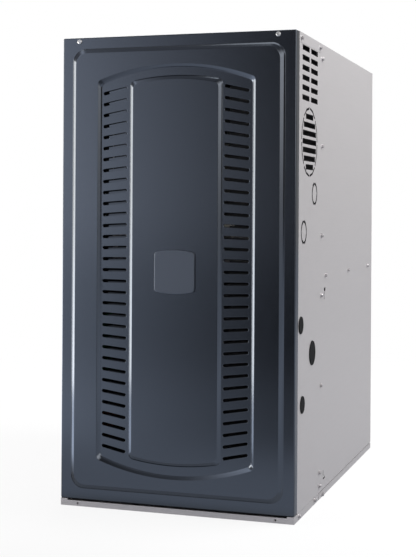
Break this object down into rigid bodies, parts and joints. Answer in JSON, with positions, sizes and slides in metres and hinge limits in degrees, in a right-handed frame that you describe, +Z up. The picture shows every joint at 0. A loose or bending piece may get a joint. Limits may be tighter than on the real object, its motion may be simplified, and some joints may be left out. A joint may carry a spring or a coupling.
{
  "type": "forced air gas furnace",
  "caption": "Upright upflow gas furnace in a sheet metal cabinet: louvred front door, tubular heat exchanger, burners, draft inducer and circulating blower.",
  "frame": {"origin": "centre of the cabinet's footprint, on the floor", "axes": "+Z up, -Y out of the front door, +X to the cabinet's right as seen from the front"},
  "size_m": [0.4463, 0.7402, 0.8636],
  "materials": {
    "paint": "satin enamel",
    "badge": "satin enamel",
    "galvanised": "galvanised sheet",
    "aluminised": "aluminised steel",
    "black_plastic": "matt",
    "bright": "zinc plated",
    "black_steel": "satin black",
    "board": "matt",
    "ceramic": "matt",
    "red_plastic": "gloss",
    "copper": "varnished",
    "silicone": "matt"
  },
  "bodies": {
    "cabinet": {"front_base_pan": "galvanised", "rear_base_pan": "galvanised", "side_panel_right": "galvanised", "side_panel_left": "galvanised", "back_panel": "galvanised", "top_filler": "galvanised", "vestibule_panel": "galvanised", "blower_deck": "galvanised", "lower_bulkhead": "galvanised", "blower_housing": "galvanised", "motor_mount": "galvanised", "blower_rail_left": "galvanised", "blower_rail_right": "galvanised", "burner_box": "galvanised", "flue_pipe": "galvanised", "junction_box": "galvanised", "hole_plug_1": "black_plastic", "hole_plug_2": "black_plastic", "hole_plug_3": "black_plastic", "rollout_switch_1": "black_plastic", "rollout_switch_2": "black_plastic", "pressure_switch": "black_plastic", "limit_switch": "black_plastic", "door_switch": "black_plastic", "exchanger_tube_1": "aluminised", "exchanger_tube_2": "aluminised", "exchanger_tube_3": "aluminised", "exchanger_tube_4": "aluminised", "tube_support": "aluminised", "burner_1": "aluminised", "burner_2": "aluminised", "burner_3": "aluminised", "burner_4": "aluminised", "gas_valve": "aluminised", "collector_box": "aluminised", "capacitor": "bright", "blower_motor": "black_steel", "gas_manifold": "black_steel", "inducer_housing": "black_steel", "inducer_motor": "black_steel", "igniter": "ceramic", "flame_sensor": "ceramic", "pressure_hose": "silicone", "control_board": "board", "transformer": "copper"},
    "front_door_body": {"front_door": "paint", "badge_plate": "badge"},
    "left_screw": {"door_screw_left": "bright"},
    "right_screw": {"door_screw_right": "bright"},
    "access_door": {"blower_door": "galvanised"},
    "left_knob": {"access_knob_left": "black_plastic"},
    "right_knob": {"access_knob_right": "black_plastic"},
    "blower_rotor": {"blower_wheel": "galvanised", "blower_shaft": "bright"},
    "inducer_rotor": {"inducer_wheel": "aluminised"},
    "valve_lever": {"gas_valve_lever": "red_plastic"},
    "reset_1": {"reset_button_1": "red_plastic"},
    "reset_2": {"reset_button_2": "red_plastic"},
    "plunger": {"switch_plunger": "red_plastic"}
  },
  "joints": [
    {"name": "front_door_lift_off", "type": "slide", "parent": "cabinet", "child": "front_door_body", "axis": [0, -1, 0], "range_m": [0, 0.3]},
    {"name": "left_screw_turn", "type": "hinge", "parent": "front_door_body", "child": "left_screw", "pos_m": [-0.189, -0.3601, 0.8564], "axis": [0, 1, 0], "continuous": true},
    {"name": "right_screw_turn", "type": "hinge", "parent": "front_door_body", "child": "right_screw", "pos_m": [0.189, -0.3601, 0.8564], "axis": [0, 1, 0], "continuous": true},
    {"name": "access_door_lift_off", "type": "slide", "parent": "cabinet", "child": "access_door", "axis": [0, -1, 0], "range_m": [0, 0.12]},
    {"name": "left_knob_turn", "type": "hinge", "parent": "access_door", "child": "left_knob", "pos_m": [-0.15, -0.1701, 0.38], "axis": [0, 1, 0], "range_deg": [0, 90]},
    {"name": "right_knob_turn", "type": "hinge", "parent": "access_door", "child": "right_knob", "pos_m": [0.15, -0.1701, 0.38], "axis": [0, 1, 0], "range_deg": [0, 90]},
    {"name": "blower_spin", "type": "hinge", "parent": "cabinet", "child": "blower_rotor", "pos_m": [0, 0.0599, 0.212], "axis": [1, 0, 0], "continuous": true},
    {"name": "inducer_spin", "type": "hinge", "parent": "cabinet", "child": "inducer_rotor", "pos_m": [-0.02, -0.2301, 0.712], "axis": [0, 1, 0], "continuous": true},
    {"name": "valve_lever_turn", "type": "hinge", "parent": "cabinet", "child": "valve_lever", "pos_m": [0.052, -0.3251, 0.51], "axis": [0, 1, 0], "range_deg": [0, 90]},
    {"name": "reset_1_press", "type": "slide", "parent": "cabinet", "child": "reset_1", "axis": [0, 0, -1], "range_m": [0, 0.0015], "stiffness_N_per_m": 400},
    {"name": "reset_2_press", "type": "slide", "parent": "cabinet", "child": "reset_2", "axis": [0, 0, -1], "range_m": [0, 0.0015], "stiffness_N_per_m": 400},
    {"name": "plunger_press", "type": "slide", "parent": "cabinet", "child": "plunger", "axis": [0, 1, 0], "range_m": [0, 0.004], "stiffness_N_per_m": 300}
  ]
}
